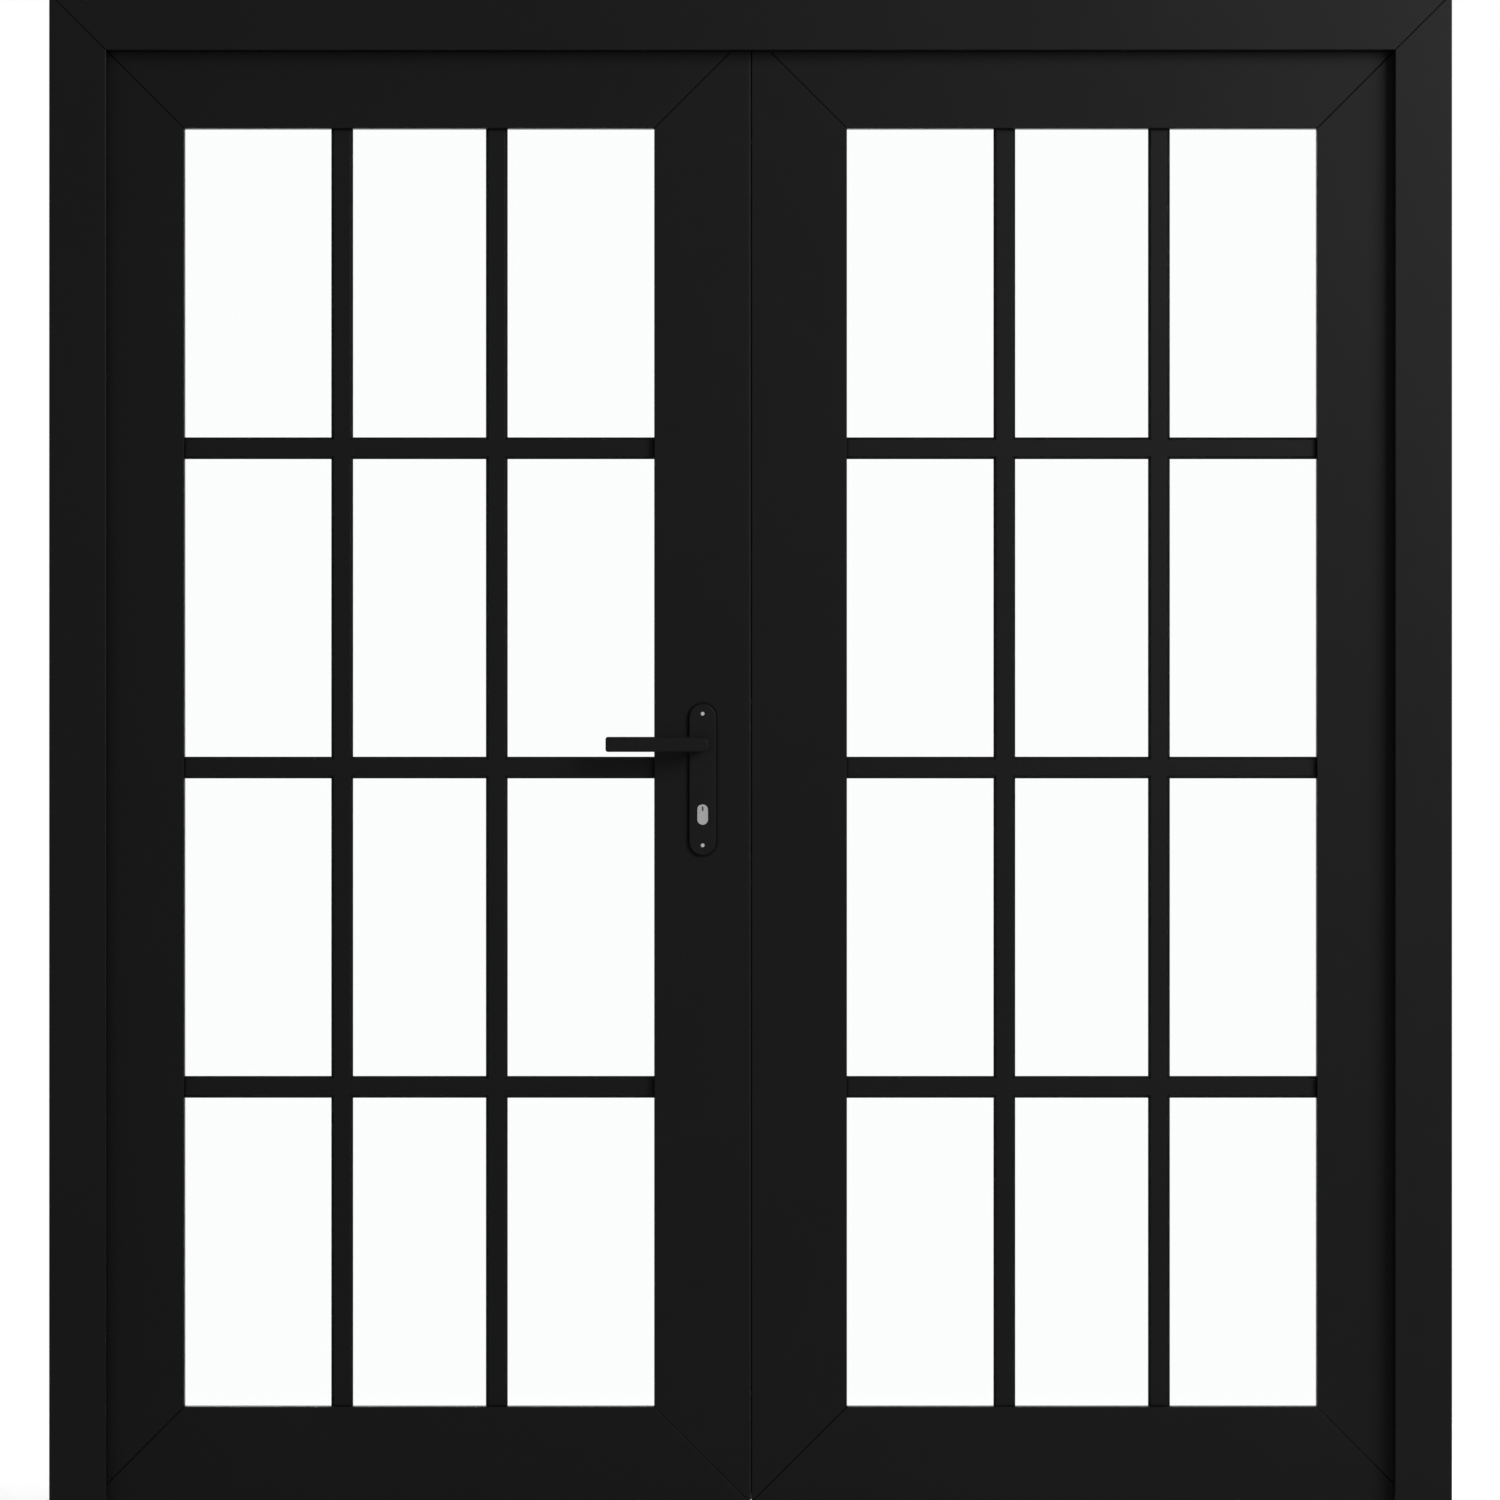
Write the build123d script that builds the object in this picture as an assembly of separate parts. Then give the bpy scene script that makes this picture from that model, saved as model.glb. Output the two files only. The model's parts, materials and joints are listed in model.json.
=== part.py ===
from build123d import *
import os

# A pair of glazed interior doors hung in a timber frame with casings on both sides.
# Millimetres. X runs to the right as seen from the front, Y goes away from the viewer, Z is up.
# The origin is on the floor, in the middle of the doorway, at the middle of the leaves' thickness.
# The leaves open away from the viewer, and the left one carries the lever handles.

# Leaves
leaf_width = 914.0
leaf_height = 2032.0
leaf_thickness = 40.0
floor_gap = 7.0
meeting_gap = 2.5
rebate_gap = 3.0
stile_width = 132.0
leaf_arris = 1.0
mitre_groove = 0.8
let_in_clearance = 0.2

# Glazing bars and panes
bar_width = 30.0
bar_thickness = 16.0
bar_chamfer = 4.0
upright_spacing = 214.0
rows = 4
glass_thickness = 4.0
glass_clearance = 0.2
glass_groove_depth = 8.0
glass_edge_cover = 6.0
tenon_length = 7.5

# Frame
jamb_base = 30.0
stop_rise = 29.0
stop_depth = 27.0
seal_gap = 3.0
groove_side_clearance = 0.25
seal_inset = 9.0
seal_stem = 2.8
seal_stem_depth = 5.5
seal_bulb_width = 8.0
seal_bulb_top = 5.0
seat_clearance = 0.3

# Casings
casing_thickness = 10.0
casing_lap = 19.5
casing_edge_radius = 1.5
casing_reveal = 6.75
tongue_thickness = 4.0
tongue_length = 10.0
tongue_groove_depth = 12.0
front_tongue_inset = 8.0
rear_tongue_inset = 14.0

# Frame fixing holes, for screws into the wall
fixing_hole_radius = 3.5
jamb_fixing_height = 1000.0
jamb_fixing_spacing = 1100.0
head_fixing_spacing = 1200.0

# Hinges
hinge_height = 100.0
hinge_from_top = 180.0
hinge_from_bottom = 250.0
hinge_plate_width = 29.0
hinge_plate_thickness = 2.5
hinge_pin_radius = 3.0
hinge_pin_reach = 36.0
hinge_running_clearance = 0.05
hinge_bore_spare = 1.0
knuckle_radius = 6.5
knuckle_offset = 7.0
knuckle_gap = 0.3

# Lock
backset = 65.0
handle_height = 1055.0
lever_to_cylinder = 97.0
forend_length = 235.0
forend_width = 20.0
forend_thickness = 3.0
lock_case_height = 170.0
lock_case_depth = 87.0
lock_case_thickness = 15.0
lock_case_wall = 1.5
bolt_thickness = 11.0
latch_height = 18.0
latch_above_lever = 17.0
latch_throw = 11.0
latch_nose_thickness = 2.5
latch_head_length = 22.0
latch_tail_thickness = 3.0
latch_hook_length = 6.0
latch_tail_inset = 1.5
latch_notch_play = 2.5
deadbolt_height = 22.0
deadbolt_above_cylinder = 23.5
deadbolt_throw = 20.0
deadbolt_length = 82.0
deadbolt_set_in = 0.3
cam_step_length = 58.0
cam_step_clearance = 1.0
strike_pocket_clearance = 1.0
strike_pocket_spare = 3.0

# Follower and spindle
follower_radius = 10.5
follower_arm_reach = 17.0
follower_arm_width = 6.0
spindle_side = 8.0
spindle_length = 100.0
running_clearance = 0.05
pick_up_clearance = 0.3

# Oval cylinder
cylinder_width = 14.6
cylinder_height = 28.0
cylinder_proud = 1.0
plug_radius = 6.25
plug_above_centre = 5.0
keyway_width = 2.2
keyway_height = 8.0
keyway_depth = 22.0
cam_radius = 12.0
cam_width = 8.0
cam_thickness = 10.0
cam_slot_clearance = 0.5
cylinder_screw_radius = 2.5
cylinder_screw_head_radius = 4.0
cylinder_screw_head_depth = 1.5
cylinder_screw_set_in = 0.1
screw_hole_clearance = 0.2

# Handle plates and levers
plate_width = 38.0
plate_length = 210.0
plate_thickness = 7.0
plate_edge_chamfer = 1.5
plate_screw_spacing = 182.0
plate_screw_radius = 2.0
plate_screw_head_radius = 2.6
plate_screw_head_depth = 2.0
sleeve_radius = 3.0
sleeve_head_radius = 3.4
sleeve_length = 32.0
screw_slot_width = 0.8
screw_slot_depth = 0.8
neck_radius = 8.5
neck_set_in = 3.0
lever_reach = 133.75
lever_projection = 55.0
lever_depth = 13.0
lever_end_reach = 9.2
lever_height = 20.8
lever_tip_radius = 3.5
lever_edge_chamfer = 2.0
body_bore_clearance = 2.5

# Flush bolts in the meeting edge of the right leaf
flush_body_length = 160.0
flush_body_width = 19.0
flush_body_depth = 16.0
flush_rod_width = 10.0
flush_rod_depth = 6.0
flush_rod_set_in = 8.0
flush_rod_length = 150.0
flush_throw = 14.0
flush_recess_height = 34.0
flush_recess_from_end = 80.0
flush_tab_height = 12.0
flush_tab_set_back = 1.0
flush_slide_clearance = 0.1
flush_end_gap = 0.5
flush_tip_chamfer = 1.2
keeper_length = 50.0
keeper_width = 20.0
keeper_thickness = 2.0
keeper_clearance = 1.0
keeper_pocket_spare = 4.0

# Worked out from the sizes above
half_leaf = leaf_thickness / 2
half_rebate = meeting_gap / 2 + leaf_width + rebate_gap
leaf_top = floor_gap + leaf_height
rebate_top = leaf_top + rebate_gap
frame_front = -half_leaf - seal_gap - stop_depth
stop_rear = -half_leaf - seal_gap
frame_rear = half_leaf
casing_outer = jamb_base + casing_lap
opening_bottom = floor_gap + stile_width
opening_top = leaf_top - stile_width
opening_width = leaf_width - 2 * stile_width
row_pitch = (opening_top - opening_bottom) / rows
glass_groove = glass_thickness + 2 * glass_clearance
meeting_edge = meeting_gap / 2
hinge_edge = meeting_edge + leaf_width
knuckle_x = hinge_edge + rebate_gap / 2
knuckle_y = half_leaf + knuckle_offset
spindle_x = -(meeting_edge + backset)
plate_centre = handle_height - lever_to_cylinder / 2
cylinder_centre = handle_height - lever_to_cylinder
plug_height = cylinder_centre + plug_above_centre
latch_centre = handle_height + latch_above_lever
deadbolt_centre = cylinder_centre + deadbolt_above_cylinder
case_front = -(meeting_edge + forend_thickness)
case_rear = case_front - lock_case_depth
plate_face = half_leaf + plate_thickness
lever_face = half_leaf + lever_projection
hinge_centres = [
    floor_gap + hinge_from_bottom + hinge_height / 2,
    (floor_gap + hinge_from_bottom + leaf_top - hinge_from_top) / 2,
    leaf_top - hinge_from_top - hinge_height / 2,
]
beyond = 1.0


def block(x, y, z):
    """A box from three pairs of limits."""
    middle = Pos((x[0] + x[1]) / 2, (y[0] + y[1]) / 2, (z[0] + z[1]) / 2)
    return middle * Box(x[1] - x[0], y[1] - y[0], z[1] - z[0])


def around(centre, width):
    """The limits of a width that is centred on a place."""
    return (centre - width / 2, centre + width / 2)


def rod(start, travel, radius):
    """A cylinder from a point, along a vector."""
    way = Vector(*travel)
    return Solid.make_cylinder(radius, way.length, Plane(origin=start, z_dir=way))


def prism(corners, travel):
    """A polygon of points in space, pushed along a vector."""
    outline = Face(Wire.make_polygon([Vector(*c) for c in corners], close=True))
    return Solid.extrude(outline, Vector(*travel))


def mirrored(shape, plane):
    """The shape as a mirror image, with its solids the right way out."""
    return mirror(shape, about=plane)


def front_view(x, y, z):
    """A drawing plane that faces the viewer, with its own Y pointing up."""
    return Plane(origin=(x, y, z), x_dir=(1, 0, 0), z_dir=(0, -1, 0))


def member(section, side, opening, reach):
    """One side of a mitred frame. The section's points are (outward from the opening's edge, y)."""
    left, right, bottom, top = opening
    inner = min(u for u, _ in section) - beyond
    outer = max(u for u, _ in section) + beyond
    low, high = bottom - reach, top + outer
    depths = [y for _, y in section]
    front, depth = min(depths) - beyond, max(depths) - min(depths) + 2 * beyond
    foot = bottom - outer if reach else bottom - beyond
    inner_foot = bottom - inner if reach else bottom - beyond
    if side == "left":
        bar = prism([(left - u, y, low) for u, y in section], (0, 0, high - low))
        profile = [(outer, foot), (inner, inner_foot), (inner, top + inner), (outer, high)]
        corners = [(left - u, z) for u, z in profile]
    elif side == "right":
        bar = prism([(right + u, y, low) for u, y in section], (0, 0, high - low))
        profile = [(outer, foot), (inner, inner_foot), (inner, top + inner), (outer, high)]
        corners = [(right + u, z) for u, z in profile]
    elif side == "top":
        bar = prism([(left - outer, y, top + u) for u, y in section], (right - left + 2 * outer, 0, 0))
        corners = [
            (left - outer, high),
            (left - inner, top + inner),
            (right + inner, top + inner),
            (right + outer, high),
        ]
    else:
        bar = prism([(left - outer, y, bottom - u) for u, y in section], (right - left + 2 * outer, 0, 0))
        corners = [
            (left - outer, foot),
            (left - inner, bottom - inner),
            (right + inner, bottom - inner),
            (right + outer, foot),
        ]
    return bar & prism([(x, front, z) for x, z in corners], (0, depth, 0))


def mitre_grooves(opening, corners, reach, y, into):
    """Fine V grooves along mitred joints, on the face at y. Reach is the joint's span outward."""
    left, right, bottom, top = opening
    places = {"left": left, "right": right, "bottom": bottom, "top": top}
    signs = {"left": -1, "right": 1, "bottom": -1, "top": 1}
    grooves = []
    for across, up in corners:
        sx, sz = signs[across], signs[up]
        start = Vector(places[across] + sx * reach[0], y, places[up] + sz * reach[0])
        travel = Vector(sx, 0, sz) * (reach[1] - reach[0])
        normal = Vector(sz, 0, -sx).normalized()
        mouth = start - Vector(0, into * mitre_groove, 0)
        points = [mouth + normal * 2 * mitre_groove, mouth - normal * 2 * mitre_groove]
        grooves.append(prism(points + [start + Vector(0, into * mitre_groove, 0)], travel))
    return grooves


def leaf_member(side, opening):
    """A stile or a rail, with the groove for the glass and the bars along its inner edge."""
    half_groove = glass_groove / 2
    shoulder = half_leaf - leaf_arris
    section = [
        (0, -shoulder),
        (leaf_arris, -half_leaf),
        (stile_width - leaf_arris, -half_leaf),
        (stile_width, -shoulder),
        (stile_width, shoulder),
        (stile_width - leaf_arris, half_leaf),
        (leaf_arris, half_leaf),
        (0, shoulder),
        (0, half_groove),
        (glass_groove_depth, half_groove),
        (glass_groove_depth, -half_groove),
        (0, -half_groove),
    ]
    corners = [(across, up) for across in ("left", "right") for up in ("bottom", "top")]
    reach = (-beyond, stile_width + beyond)
    front = mitre_grooves(opening, corners, reach, -half_leaf, 1)
    rear = mitre_grooves(opening, corners, reach, half_leaf, -1)
    return member(section, side, opening, stile_width) - (front + rear)


def bar_places(centre):
    """The upright bars' and the cross bars' centre lines."""
    uprights = [centre - upright_spacing / 2, centre + upright_spacing / 2]
    crosses = [opening_bottom + row_pitch * i for i in range(1, rows)]
    return uprights, crosses


def pane_openings(centre):
    """The clear opening of each pane, as limits in X and Z."""
    uprights, crosses = bar_places(centre)
    half_bar = bar_width / 2
    lefts = [centre - opening_width / 2] + [x + half_bar for x in uprights]
    rights = [x - half_bar for x in uprights] + [centre + opening_width / 2]
    bottoms = [opening_bottom] + [z + half_bar for z in crosses]
    tops = [z - half_bar for z in crosses] + [opening_top]
    return [(x, z) for z in zip(bottoms, tops) for x in zip(lefts, rights)]


def pane_cutter(x, z):
    """What a pane takes out of the bars round it: its groove, and a slanting cut on each face."""
    width, height = x[1] - x[0], z[1] - z[0]
    centre_x, centre_z = sum(x) / 2, sum(z) / 2
    half_groove, half_bar = glass_groove / 2, bar_thickness / 2
    cutter = block(
        around(centre_x, width + 2 * glass_groove_depth),
        (-half_groove, half_groove),
        around(centre_z, height + 2 * glass_groove_depth),
    )
    for side in (-1, 1):
        flare = 2 * (bar_chamfer + beyond)
        deep = front_view(centre_x, side * (half_bar - bar_chamfer), centre_z)
        mouth = front_view(centre_x, side * (half_bar + beyond), centre_z)
        sections = [deep * Rectangle(width, height), mouth * Rectangle(width + flare, height + flare)]
        cutter += loft(sections, ruled=True)
    return cutter


def glazing_bars(centre):
    """The upright bars and the cross bars, halved over each other, with tenons in the leaf's groove."""
    uprights, crosses = bar_places(centre)
    half_bar = bar_thickness / 2
    web = bar_width - 2 * glass_groove_depth
    cutters = [pane_cutter(x, z) for x, z in pane_openings(centre)]
    upright_bars, cross_bars = [], []
    for place in uprights:
        bar = block(around(place, bar_width), (-half_bar, half_bar), (opening_bottom, opening_top))
        tenon_ends = (opening_bottom - tenon_length, opening_top + tenon_length)
        bar += block(around(place, web), around(0, glass_thickness), tenon_ends)
        for height in crosses:
            rear_half = (0, half_bar + beyond)
            bar -= block(around(place, bar_width + beyond), rear_half, around(height, bar_width))
        upright_bars.append(bar - cutters)
    ends = around(centre, opening_width)
    for height in crosses:
        bar = block(ends, (-half_bar, half_bar), around(height, bar_width))
        tenon_ends = (ends[0] - tenon_length, ends[1] + tenon_length)
        bar += block(tenon_ends, around(0, glass_thickness), around(height, web))
        for place in uprights:
            front_half = (-half_bar - beyond, 0)
            bar -= block(around(place, bar_width), front_half, around(height, bar_width + beyond))
        cross_bars.append(bar - cutters)
    return upright_bars, cross_bars


def panes(centre):
    """The twelve panes of one leaf."""
    sheets = []
    for x, z in pane_openings(centre):
        wide = (x[0] - glass_edge_cover, x[1] + glass_edge_cover)
        tall = (z[0] - glass_edge_cover, z[1] + glass_edge_cover)
        sheets.append(block(wide, around(0, glass_thickness), tall))
    return Compound(children=sheets)


def frame_opening():
    """The rebate that the pair of leaves closes into."""
    return (-half_rebate, half_rebate, 0, rebate_top)


def jamb_section():
    """The lining board's section, with a groove in each edge for the casings' tongues."""
    tongue_groove = tongue_thickness + 2 * groove_side_clearance
    front_groove = front_tongue_inset - groove_side_clearance
    rear_groove = rear_tongue_inset - groove_side_clearance
    return [
        (0, frame_front),
        (front_groove, frame_front),
        (front_groove, frame_front + tongue_groove_depth),
        (front_groove + tongue_groove, frame_front + tongue_groove_depth),
        (front_groove + tongue_groove, frame_front),
        (jamb_base, frame_front),
        (jamb_base, frame_rear),
        (rear_groove + tongue_groove, frame_rear),
        (rear_groove + tongue_groove, frame_rear - tongue_groove_depth),
        (rear_groove, frame_rear - tongue_groove_depth),
        (rear_groove, frame_rear),
        (0, frame_rear),
    ]


def stop_section():
    """The planted stop's section, glued to the lining, with the seal's groove in its rear face."""
    seal_groove = seal_stem + groove_side_clearance
    seal_bottom = stop_rear - seal_stem_depth - groove_side_clearance
    return [
        (-stop_rise, frame_front),
        (0, frame_front),
        (0, stop_rear),
        (-seal_inset, stop_rear),
        (-seal_inset, seal_bottom),
        (-seal_inset - seal_groove, seal_bottom),
        (-seal_inset - seal_groove, stop_rear),
        (-stop_rise, stop_rear),
    ]


def seal_section():
    """The seal: a stem pressed into the stop's groove, and a bulb that the leaf closes on."""
    stem_outer = -seal_inset - groove_side_clearance / 2
    stem_inner = stem_outer - seal_stem
    middle = (stem_outer + stem_inner) / 2
    bulb_face = -half_leaf - seat_clearance
    return [
        (stem_outer, stop_rear - seal_stem_depth),
        (stem_outer, stop_rear),
        (middle + seal_bulb_width / 2, stop_rear),
        (middle + seal_bulb_top / 2, bulb_face),
        (middle - seal_bulb_top / 2, bulb_face),
        (middle - seal_bulb_width / 2, stop_rear),
        (stem_inner, stop_rear),
        (stem_inner, stop_rear - seal_stem_depth),
    ]


def casing_section(seat, face, inner, tongue_inset):
    """A flat casing with a tongue that enters the frame. Seat and face are its two depths."""
    tongue_tip = seat + tongue_length * (1 if face < seat else -1)
    return [
        (inner, face),
        (casing_outer, face),
        (casing_outer, seat),
        (tongue_inset + tongue_thickness, seat),
        (tongue_inset + tongue_thickness, tongue_tip),
        (tongue_inset, tongue_tip),
        (tongue_inset, seat),
        (inner, seat),
    ]


def casing(section, side, face, into):
    """One length of casing, with soft long edges and a fine V at its mitres."""
    bar = member(section, side, frame_opening(), 0)
    face_edges = [e for e in bar.edges() if abs(e.center().Y - face) < 0.01]
    straight = [e for e in face_edges if min(abs(e.tangent_at(0.5).X), abs(e.tangent_at(0.5).Z)) < 0.01]
    long_edges = [e for e in straight if e.length > 2 * stile_width]
    bar = fillet(long_edges, casing_edge_radius)
    inner = min(u for u, _ in section)
    reach = (inner - beyond, casing_outer + beyond)
    corners = [("left", "top"), ("right", "top")]
    return bar - mitre_grooves(frame_opening(), corners, reach, face, into)


def hinge_pocket(side, into_leaf, centre):
    """The recess for one hinge plate, in the leaf's edge or in the frame. Side is -1 on the left."""
    face = hinge_edge if into_leaf else half_rebate
    bottom = face - hinge_plate_thickness if into_leaf else face + hinge_plate_thickness
    outer = face + beyond if into_leaf else face - beyond
    y = (half_leaf - hinge_plate_width - let_in_clearance, half_leaf + beyond)
    x = sorted((side * bottom, side * outer))
    return block(x, y, around(centre, hinge_height + 2 * let_in_clearance))


def hinge_half(side, on_leaf, centre):
    """Half of a lift-off hinge. The frame's half carries the pin, and the leaf's half drops on it."""
    axis_x = side * knuckle_x
    face = hinge_edge if on_leaf else half_rebate
    back = face - hinge_plate_thickness if on_leaf else face + hinge_plate_thickness
    y = (half_leaf - hinge_plate_width, knuckle_y)
    half = hinge_height / 2
    plate = block(sorted((side * face, side * back)), y, around(centre, hinge_height))
    notch_y = (knuckle_y - knuckle_radius - seat_clearance, knuckle_y + beyond)
    notch_x = around(axis_x, 2 * knuckle_radius)
    if on_leaf:
        plate -= block(notch_x, notch_y, (centre - half - beyond, centre + knuckle_gap / 2))
        start = (axis_x, knuckle_y, centre + knuckle_gap / 2)
        plate += rod(start, (0, 0, half - knuckle_gap / 2), knuckle_radius)
        bore_radius = hinge_pin_radius + hinge_running_clearance
        bore_depth = hinge_pin_reach + hinge_bore_spare
        return plate - rod((axis_x, knuckle_y, centre), (0, 0, bore_depth), bore_radius)
    plate -= block(notch_x, notch_y, (centre - knuckle_gap / 2, centre + half + beyond))
    plate += rod((axis_x, knuckle_y, centre - half), (0, 0, half - knuckle_gap / 2), knuckle_radius)
    return plate + rod((axis_x, knuckle_y, centre - half), (0, 0, half + hinge_pin_reach), hinge_pin_radius)


def stadium(x, y, z, width, height, depth):
    """A prism with fully rounded top and bottom, from y towards the rear."""
    outline = front_view(x, y, z) * SlotOverall(height, width, rotation=90)
    return extrude(outline, amount=depth, dir=(0, 1, 0))


def edge_plate(x, gap):
    """The forend's or the strike's outline through the given limits in X, grown by a gap."""
    return block(x, around(0, forend_width + 2 * gap), around(plate_centre, forend_length + 2 * gap))


def bolt_windows(x, clearance):
    """The latch's and the deadbolt's openings, through the given limits in X."""
    half = bolt_thickness / 2 + clearance
    latch = block(x, (-half, half), around(latch_centre, latch_height + 2 * clearance))
    deadbolt = block(x, (-half, half), around(deadbolt_centre, deadbolt_height + 2 * clearance))
    return latch + deadbolt


def cylinder_outline(y, clearance, depth):
    """The oval cylinder's outline as a prism, grown by a clearance."""
    width = cylinder_width + 2 * clearance
    height = cylinder_height + 2 * clearance
    return stadium(spindle_x, y, cylinder_centre, width, height, depth)


def lock_case():
    """The lock's case: a thin box behind the forend, open at the front, bored for what crosses it."""
    half = lock_case_thickness / 2
    z = around(plate_centre, lock_case_height)
    wall = lock_case_wall
    case = block((case_rear, case_front), (-half, half), z)
    inside = (case_rear + wall, case_front + beyond)
    case -= block(inside, (wall - half, half - wall), (z[0] + wall, z[1] - wall))
    start = (spindle_x, -half - beyond, handle_height)
    through = 2 * (half + beyond)
    case -= rod(start, (0, through, 0), follower_radius + running_clearance)
    return case - cylinder_outline(-half - beyond, let_in_clearance, through)


def lock_forend():
    """The lock's front strip in the meeting edge, with its windows and the cylinder's screw hole."""
    strip = edge_plate((case_front, -meeting_edge), 0)
    strip -= bolt_windows((case_front - beyond, beyond), let_in_clearance)
    z = cylinder_screw_height()
    through = (2 * forend_thickness, 0, 0)
    hole = rod((case_front - beyond, 0, z), through, cylinder_screw_radius + screw_hole_clearance)
    seat = -meeting_edge - cylinder_screw_set_in - cylinder_screw_head_depth
    head = rod((seat, 0, z), through, cylinder_screw_head_radius + screw_hole_clearance)
    return strip - hole - head


def cylinder_screw_height():
    """The screw's height: the middle of the bridge under the cam."""
    bridge_top = plug_height - cam_radius - cam_slot_clearance
    return (cylinder_centre - cylinder_height / 2 + bridge_top) / 2


def cylinder_screw():
    """The long screw from the forend that holds the cylinder by its bridge."""
    z = cylinder_screw_height()
    top = -meeting_edge - cylinder_screw_set_in
    shank = rod((top, 0, z), (spindle_x - top, 0, 0), cylinder_screw_radius)
    return shank + rod((top, 0, z), (-cylinder_screw_head_depth, 0, 0), cylinder_screw_head_radius)


def cylinder_body():
    """The oval cylinder's body, bored for the plug and cut across for the cam."""
    length = 2 * (plate_face + cylinder_proud)
    body = cylinder_outline(-length / 2, 0, length)
    start = (spindle_x, -length, plug_height)
    body -= rod(start, (0, 2 * length, 0), plug_radius + running_clearance)
    slot_bottom = plug_height - cam_radius - cam_slot_clearance
    body -= block(
        around(spindle_x, 2 * cylinder_width),
        around(0, cam_thickness + 2 * cam_slot_clearance),
        (slot_bottom, handle_height),
    )
    bore_radius = cylinder_screw_radius + running_clearance
    return body - rod((spindle_x, 0, cylinder_screw_height()), (backset, 0, 0), bore_radius)


def cylinder_plug():
    """The turning plug with a keyway at each end and the cam in its middle, at rest pointing down."""
    length = 2 * (plate_face + cylinder_proud)
    plug = rod((spindle_x, -length / 2, plug_height), (0, length, 0), plug_radius)
    half_cam = cam_thickness / 2
    tip = plug_height - cam_radius + cam_width / 2
    plug += block(around(spindle_x, cam_width), (-half_cam, half_cam), (tip, plug_height))
    plug += rod((spindle_x, -half_cam, tip), (0, cam_thickness, 0), cam_width / 2)
    for way in (-1, 1):
        y = sorted((way * length, way * (length / 2 - keyway_depth)))
        plug -= block(around(spindle_x, keyway_width), y, (plug_height, plug_height + keyway_height))
    return plug


def follower():
    """The follower that the spindle turns: a hub that runs in the case, and the arm that draws the latch."""
    half = bolt_thickness / 2
    start = (spindle_x, -lock_case_thickness / 2, handle_height)
    hub = rod(start, (0, lock_case_thickness, 0), follower_radius)
    top = handle_height + follower_arm_reach
    hub += block(around(spindle_x, follower_arm_width), (-half, half), (handle_height, top))
    side = spindle_side + 2 * running_clearance
    through = around(0, 2 * lock_case_thickness)
    return hub - block(around(spindle_x, side), through, around(handle_height, side))


def latch_bolt():
    """The sprung latch: a head bevelled on its closing side, and a notched tail that the arm draws."""
    half = bolt_thickness / 2
    nose = latch_throw - meeting_edge
    rear = nose - latch_head_length - latch_throw
    outline = [
        (rear, -half),
        (-meeting_edge, -half),
        (nose, half - latch_nose_thickness),
        (nose, half),
        (rear, half),
    ]
    bottom = latch_centre - latch_height / 2
    head = prism([(x, y, bottom) for x, y in outline], (0, 0, latch_height))
    arm_rear = spindle_x - follower_arm_width / 2 - pick_up_clearance
    tail_bottom = handle_height + follower_radius + latch_tail_inset
    tail_top = latch_centre + latch_height / 2 - latch_tail_inset
    tail_x = (arm_rear - latch_hook_length, rear)
    tail = block(tail_x, around(0, latch_tail_thickness), (tail_bottom, tail_top))
    notch_front = spindle_x + follower_arm_width / 2 + pick_up_clearance + latch_notch_play
    notch_top = handle_height + follower_arm_reach + latch_tail_inset
    notch = block((arm_rear, notch_front), (-half, half), (tail_bottom - beyond, notch_top))
    return head + (tail - notch)


def deadbolt():
    """The deadbolt, drawn back. Its tail is stepped, so that the cam can pass under it and push it."""
    half = bolt_thickness / 2
    nose = -meeting_edge - deadbolt_set_in
    z = around(deadbolt_centre, deadbolt_height)
    bolt = block((nose - deadbolt_length, nose), (-half, half), z)
    step = plug_height + cam_radius + cam_step_clearance
    tail = (nose - deadbolt_length - beyond, nose - cam_step_length)
    return bolt - block(tail, (-half, half), (z[0], step))


def lock_cutter():
    """What the lock, the cylinder and the handles take out of the left leaf."""
    gap = let_in_clearance
    half = lock_case_thickness / 2 + gap
    z = around(plate_centre, lock_case_height + 2 * gap)
    cutter = block((case_rear - gap, beyond), (-half, half), z)
    recess = edge_plate((case_front, beyond), gap)
    start, through = -half_leaf - beyond, leaf_thickness + 2 * beyond
    neck = rod((spindle_x, start, handle_height), (0, through, 0), neck_radius + body_bore_clearance)
    oval = cylinder_outline(start, body_bore_clearance / 2, through)
    cutter = cutter + recess + neck + oval
    for z in around(plate_centre, plate_screw_spacing):
        cutter += rod((spindle_x, start, z), (0, through, 0), sleeve_radius + gap)
    return cutter


def handle_plate(head_radius, shank_radius):
    """The front back plate, bored for the neck, the cylinder, and the heads and shanks given."""
    plate = stadium(spindle_x, -plate_face, plate_centre, plate_width, plate_length, plate_thickness)
    rim = [e for e in plate.edges() if abs(e.center().Y + plate_face) < 0.01]
    plate = chamfer(rim, plate_edge_chamfer)
    start = (spindle_x, -plate_face - beyond, handle_height)
    plate -= rod(start, (0, leaf_thickness, 0), neck_radius + running_clearance)
    plate -= cylinder_outline(-plate_face - beyond, let_in_clearance, leaf_thickness)
    for z in around(plate_centre, plate_screw_spacing):
        head = head_radius + running_clearance
        plate -= rod((spindle_x, -plate_face - beyond, z), (0, beyond + plate_screw_head_depth, 0), head)
        plate -= rod((spindle_x, -plate_face, z), (0, leaf_thickness, 0), shank_radius + running_clearance)
    return plate


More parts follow.
